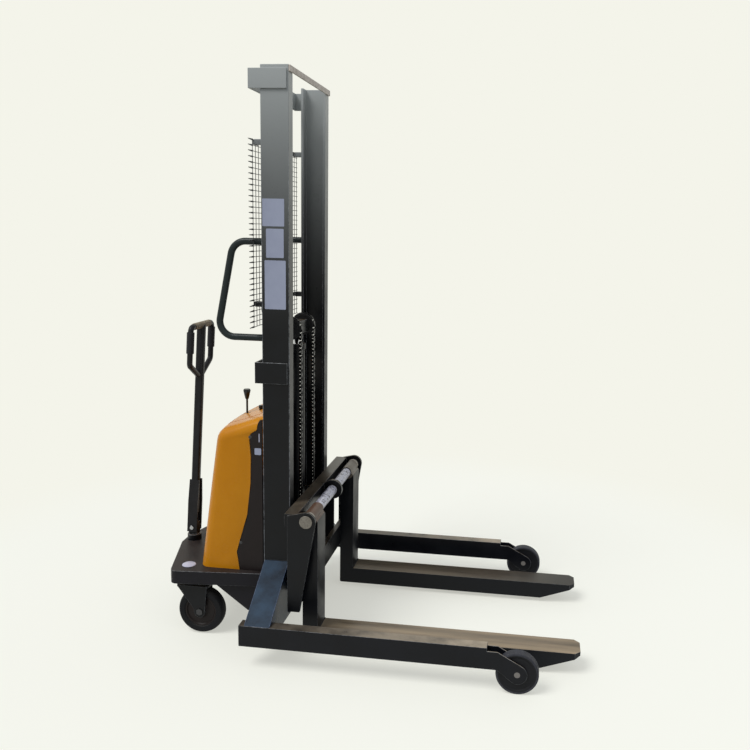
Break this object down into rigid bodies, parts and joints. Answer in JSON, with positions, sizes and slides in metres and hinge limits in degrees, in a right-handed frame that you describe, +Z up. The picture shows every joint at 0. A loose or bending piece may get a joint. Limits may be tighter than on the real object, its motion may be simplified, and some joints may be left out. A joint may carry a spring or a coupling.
{
  "type": "walkie stacker",
  "caption": "Pedestrian straddle stacker with a single mast, tilting tiller, adjustable forks on a shaft, wide support legs, swivel casters and a guarded rear hood.",
  "frame": {"origin": "on the floor under the middle of the machine's bounding box", "axes": "+X towards the fork tips, +Y to the operator's left, +Z up"},
  "size_m": [1.596, 0.994, 2.08],
  "materials": {
    "black_paint": "satin black enamel",
    "yellow_panel": "glossy yellow-orange enamel on pressed sheet",
    "black_plastic": "grained black moulding",
    "bright_steel": "machined steel",
    "chrome_rod": "hard chrome",
    "browned_steel": "bare steel with a brown film",
    "galvanised_wire": "dark coated wire",
    "caster_rubber": "moulded rubber",
    "load_wheel_nylon": "dusty grey-black nylon",
    "grip_rubber": "moulded grip",
    "white_cap": "white plastic cap",
    "tank_plastic": "translucent white polythene",
    "motor_red": "painted motor case",
    "battery_case": "battery case",
    "hose_rubber": "hydraulic hose"
  },
  "bodies": {
    "chassis": {"mast_channel_near": "black_paint", "mast_channel_far": "black_paint", "mast_top_tie": "black_paint", "mast_middle_tie": "black_paint", "mast_top_bar": "black_paint", "base_frame": "black_paint", "leg_near": "black_paint", "leg_far": "black_paint", "rear_platform": "black_paint", "caster_cap_near": "white_cap", "caster_cap_far": "white_cap", "hood": "yellow_panel", "hood_side_cover_near": "black_plastic", "hood_side_cover_far": "black_plastic", "oil_tank": "tank_plastic", "power_unit": "motor_red", "battery": "battery_case", "motor_controller": "bright_steel", "hydraulic_hose": "hose_rubber", "lever_bracket": "bright_steel", "hand_rail_near": "black_paint", "hand_rail_far": "black_paint", "mesh_guard": "galvanised_wire", "lift_cylinder": "black_paint", "chain_rear_near": "bright_steel", "chain_rear_far": "bright_steel", "chain_anchor_mast": "black_paint"},
    "carriage": {"carriage_frame": "black_paint", "fork_shaft": "chrome_rod", "chain_front_near": "bright_steel", "chain_front_far": "bright_steel"},
    "ram": {"lift_ram": "chrome_rod", "ram_crosshead": "black_paint"},
    "pulley_near": {"chain_pulley_near": "bright_steel"},
    "pulley_far": {"chain_pulley_far": "bright_steel"},
    "roller_near_lower": {"mast_roller_near_lower": "bright_steel"},
    "roller_near_upper": {"mast_roller_near_upper": "bright_steel"},
    "roller_far_lower": {"mast_roller_far_lower": "bright_steel"},
    "roller_far_upper": {"mast_roller_far_upper": "bright_steel"},
    "collar_near": {"fork_collar_near": "browned_steel"},
    "collar_far": {"fork_collar_far": "browned_steel"},
    "fork_near": {"fork_near": "black_paint"},
    "fork_far": {"fork_far": "black_paint"},
    "steering_head": {"steering_head": "black_paint", "tiller_pin": "bright_steel"},
    "tiller": {"tiller_arm": "black_paint", "tiller_grip_near": "grip_rubber", "tiller_grip_far": "grip_rubber"},
    "steering_link": {"steering_link": "bright_steel"},
    "caster_near": {"caster_fork_near": "black_paint"},
    "caster_far": {"caster_fork_far": "black_paint"},
    "caster_wheel_near": {"caster_wheel_near": "caster_rubber"},
    "caster_wheel_far": {"caster_wheel_far": "caster_rubber"},
    "load_wheel_near": {"load_wheel_near": "load_wheel_nylon"},
    "load_wheel_far": {"load_wheel_far": "load_wheel_nylon"},
    "lowering_lever": {"lowering_lever": "black_plastic"},
    "key_switch": {"key_switch": "black_plastic"}
  },
  "joints": [
    {"name": "carriage_lift", "type": "slide", "parent": "chassis", "child": "carriage", "axis": [0, 0, 1], "range_m": [0, 1.6], "deforming": ["chain_front_near", "chain_front_far"]},
    {"name": "ram_lift", "type": "slide", "parent": "chassis", "child": "ram", "axis": [0, 0, 1], "range_m": [0, 0.8], "deforming": ["chain_rear_near", "chain_rear_far"]},
    {"name": "pulley_near_turn", "type": "hinge", "parent": "ram", "child": "pulley_near", "pos_m": [-0.325, -0.087, 1.157], "axis": [0, 1, 0], "range_deg": [-1150, 0]},
    {"name": "pulley_far_turn", "type": "hinge", "parent": "ram", "child": "pulley_far", "pos_m": [-0.325, 0.087, 1.157], "axis": [0, 1, 0], "range_deg": [-1150, 0]},
    {"name": "roller_near_lower_turn", "type": "hinge", "parent": "carriage", "child": "roller_near_lower", "pos_m": [-0.323, -0.231, 0.206], "axis": [0, 1, 0], "range_deg": [-2355, 0]},
    {"name": "roller_near_upper_turn", "type": "hinge", "parent": "carriage", "child": "roller_near_upper", "pos_m": [-0.323, -0.231, 0.408], "axis": [0, 1, 0], "range_deg": [0, 2355]},
    {"name": "roller_far_lower_turn", "type": "hinge", "parent": "carriage", "child": "roller_far_lower", "pos_m": [-0.323, 0.231, 0.206], "axis": [0, 1, 0], "range_deg": [-2355, 0]},
    {"name": "roller_far_upper_turn", "type": "hinge", "parent": "carriage", "child": "roller_far_upper", "pos_m": [-0.323, 0.231, 0.408], "axis": [0, 1, 0], "range_deg": [0, 2355]},
    {"name": "fork_near_spacing", "type": "slide", "parent": "carriage", "child": "collar_near", "axis": [0, 1, 0], "range_m": [-0.016, 0.219]},
    {"name": "fork_far_spacing", "type": "slide", "parent": "carriage", "child": "collar_far", "axis": [0, 1, 0], "range_m": [-0.219, 0.016]},
    {"name": "fork_near_flip", "type": "hinge", "parent": "collar_near", "child": "fork_near", "pos_m": [-0.179, -0.2855, 0.5115], "axis": [0, -1, 0], "range_deg": [0, 45]},
    {"name": "fork_far_flip", "type": "hinge", "parent": "collar_far", "child": "fork_far", "pos_m": [-0.179, 0.2855, 0.5115], "axis": [0, -1, 0], "range_deg": [0, 45]},
    {"name": "tiller_steer", "type": "hinge", "parent": "chassis", "child": "steering_head", "pos_m": [-0.761, 0, 0.25], "axis": [0, 0, 1], "range_deg": [-60, 60]},
    {"name": "tiller_tilt", "type": "hinge", "parent": "steering_head", "child": "tiller", "pos_m": [-0.761, 0, 0.316], "axis": [0, -1, 0], "range_deg": [0, 75], "stiffness_Nm_per_rad": 24},
    {"name": "link_turn", "type": "hinge", "parent": "steering_head", "child": "steering_link", "pos_m": [-0.701, 0, 0.194], "axis": [0, 0, 1], "range_deg": [-60, 60]},
    {"name": "caster_near_swivel", "type": "hinge", "parent": "chassis", "child": "caster_near", "pos_m": [-0.673, -0.255, 0.19], "axis": [0, 0, 1], "range_deg": [-60, 60]},
    {"name": "caster_near_roll", "type": "hinge", "parent": "caster_near", "child": "caster_wheel_near", "pos_m": [-0.622, -0.255, 0.089], "axis": [0, 1, 0], "continuous": true},
    {"name": "caster_far_swivel", "type": "hinge", "parent": "chassis", "child": "caster_far", "pos_m": [-0.673, 0.255, 0.19], "axis": [0, 0, 1], "range_deg": [-60, 60]},
    {"name": "caster_far_roll", "type": "hinge", "parent": "caster_far", "child": "caster_wheel_far", "pos_m": [-0.622, 0.255, 0.089], "axis": [0, 1, 0], "continuous": true},
    {"name": "load_wheel_near_roll", "type": "hinge", "parent": "chassis", "child": "load_wheel_near", "pos_m": [0.581, -0.474, 0.073], "axis": [0, 1, 0], "continuous": true},
    {"name": "load_wheel_far_roll", "type": "hinge", "parent": "chassis", "child": "load_wheel_far", "pos_m": [0.581, 0.474, 0.073], "axis": [0, 1, 0], "continuous": true},
    {"name": "lowering_lever_tilt", "type": "hinge", "parent": "chassis", "child": "lowering_lever", "pos_m": [-0.53, 0, 0.77982], "axis": [0, 1, 0], "range_deg": [-15, 15], "stiffness_Nm_per_rad": 0.6},
    {"name": "key_turn", "type": "hinge", "parent": "chassis", "child": "key_switch", "pos_m": [-0.473, 0, 0.81839], "axis": [0, 0, 1], "range_deg": [-60, 0]}
  ],
  "couplings": [
    {"joint": "ram_lift", "follows": "carriage_lift", "ratio": 0.5},
    {"joint": "pulley_near_turn", "follows": "carriage_lift", "rad_per_m": -12.5},
    {"joint": "roller_near_lower_turn", "follows": "carriage_lift", "rad_per_m": -25.641},
    {"joint": "roller_near_upper_turn", "follows": "carriage_lift", "rad_per_m": 25.641},
    {"joint": "caster_near_swivel", "follows": "tiller_steer", "ratio": 1},
    {"joint": "pulley_far_turn", "follows": "carriage_lift", "rad_per_m": -12.5},
    {"joint": "roller_far_lower_turn", "follows": "carriage_lift", "rad_per_m": -25.641},
    {"joint": "roller_far_upper_turn", "follows": "carriage_lift", "rad_per_m": 25.641},
    {"joint": "caster_far_swivel", "follows": "tiller_steer", "ratio": 1},
    {"joint": "link_turn", "follows": "tiller_steer", "ratio": -1}
  ]
}
